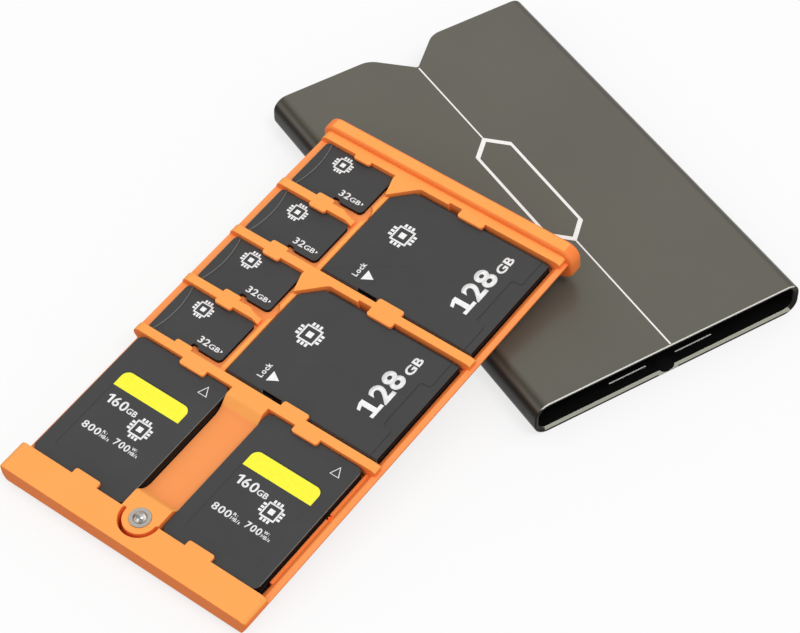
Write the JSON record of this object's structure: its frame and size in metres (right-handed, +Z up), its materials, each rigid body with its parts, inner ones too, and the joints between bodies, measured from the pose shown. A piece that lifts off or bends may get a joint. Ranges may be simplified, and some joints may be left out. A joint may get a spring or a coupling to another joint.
{
  "type": "memory card case",
  "caption": "Flat anodised aluminium sleeve with a pull-out card tray that clips memory cards of mixed sizes under small lips and snaps shut with a ball plunger.",
  "frame": {"origin": "middle of the sleeve's flat underside, which lies on the floor", "axes": "+Z up, Y along the sleeve with its open mouth at -Y and its thumb notch at +Y, X across the sleeve; the tray lies at -X with its flange end over the sleeve"},
  "size_m": [0.1359, 0.0984, 0.0156],
  "materials": {
    "sleeve_metal": "fine matte anodised",
    "tray_plastic": "satin moulded",
    "card_plastic": "fine matte",
    "black_plastic": "matte",
    "contact_metal": "gold plated",
    "steel": "turned",
    "polished_steel": "polished"
  },
  "bodies": {
    "sleeve": {"sleeve": "sleeve_metal"},
    "tray": {"tray": "tray_plastic", "plunger_shell": "steel", "plunger_spring": "steel", "micro_tabs_1": "tray_plastic", "micro_tabs_2": "tray_plastic", "micro_tabs_3": "tray_plastic", "micro_tabs_4": "tray_plastic", "sd_tabs_1": "tray_plastic", "sd_tabs_2": "tray_plastic", "cf_tabs_1": "tray_plastic", "cf_tabs_2": "tray_plastic"},
    "plunger": {"plunger_ball": "polished_steel"},
    "micro_1": {"micro_card_1": "card_plastic", "micro_contacts_1": "contact_metal"},
    "micro_2": {"micro_card_2": "card_plastic", "micro_contacts_2": "contact_metal"},
    "micro_3": {"micro_card_3": "card_plastic", "micro_contacts_3": "contact_metal"},
    "micro_4": {"micro_card_4": "card_plastic", "micro_contacts_4": "contact_metal"},
    "sd_1": {"sd_cover_1": "card_plastic", "sd_base_1": "card_plastic", "sd_board_1": "contact_metal"},
    "sd_lock_1": {"sd_lock_1": "black_plastic"},
    "sd_2": {"sd_cover_2": "card_plastic", "sd_base_2": "card_plastic", "sd_board_2": "contact_metal"},
    "sd_lock_2": {"sd_lock_2": "black_plastic"},
    "cf_1": {"cf_cover_1": "card_plastic", "cf_base_1": "card_plastic", "cf_board_1": "contact_metal"},
    "cf_2": {"cf_cover_2": "card_plastic", "cf_base_2": "card_plastic", "cf_board_2": "contact_metal"}
  },
  "joints": [
    {"name": "tray_slide", "type": "slide", "parent": "sleeve", "child": "tray", "axis": [0.9295, 0.3531, 0.1071], "range_m": [0, 0.088]},
    {"name": "plunger_press", "type": "slide", "parent": "tray", "child": "plunger", "axis": [0.1001, 0.038, -0.9943], "range_m": [0, 0.00075], "stiffness_N_per_m": 800, "springref_m": -0.0005, "deforming": ["plunger_spring"]},
    {"name": "micro_1_lift", "type": "slide", "parent": "tray", "child": "micro_1", "axis": [-0.1001, -0.038, 0.9943], "range_m": [0, 0.012], "deforming": ["micro_tabs_1"]},
    {"name": "micro_2_lift", "type": "slide", "parent": "tray", "child": "micro_2", "axis": [-0.1001, -0.038, 0.9943], "range_m": [0, 0.012], "deforming": ["micro_tabs_2"]},
    {"name": "micro_3_lift", "type": "slide", "parent": "tray", "child": "micro_3", "axis": [-0.1001, -0.038, 0.9943], "range_m": [0, 0.012], "deforming": ["micro_tabs_3"]},
    {"name": "micro_4_lift", "type": "slide", "parent": "tray", "child": "micro_4", "axis": [-0.1001, -0.038, 0.9943], "range_m": [0, 0.012], "deforming": ["micro_tabs_4"]},
    {"name": "sd_1_lift", "type": "slide", "parent": "tray", "child": "sd_1", "axis": [-0.1001, -0.038, 0.9943], "range_m": [0, 0.012], "deforming": ["sd_tabs_1"]},
    {"name": "sd_1_lock", "type": "slide", "parent": "sd_1", "child": "sd_lock_1", "axis": [0.3551, -0.9348, 0], "range_m": [0, 0.0017]},
    {"name": "sd_2_lift", "type": "slide", "parent": "tray", "child": "sd_2", "axis": [-0.1001, -0.038, 0.9943], "range_m": [0, 0.012], "deforming": ["sd_tabs_2"]},
    {"name": "sd_2_lock", "type": "slide", "parent": "sd_2", "child": "sd_lock_2", "axis": [0.3551, -0.9348, 0], "range_m": [0, 0.0017]},
    {"name": "cf_1_lift", "type": "slide", "parent": "tray", "child": "cf_1", "axis": [-0.1001, -0.038, 0.9943], "range_m": [0, 0.012], "deforming": ["cf_tabs_1"]},
    {"name": "cf_2_lift", "type": "slide", "parent": "tray", "child": "cf_2", "axis": [-0.1001, -0.038, 0.9943], "range_m": [0, 0.012], "deforming": ["cf_tabs_2"]}
  ]
}
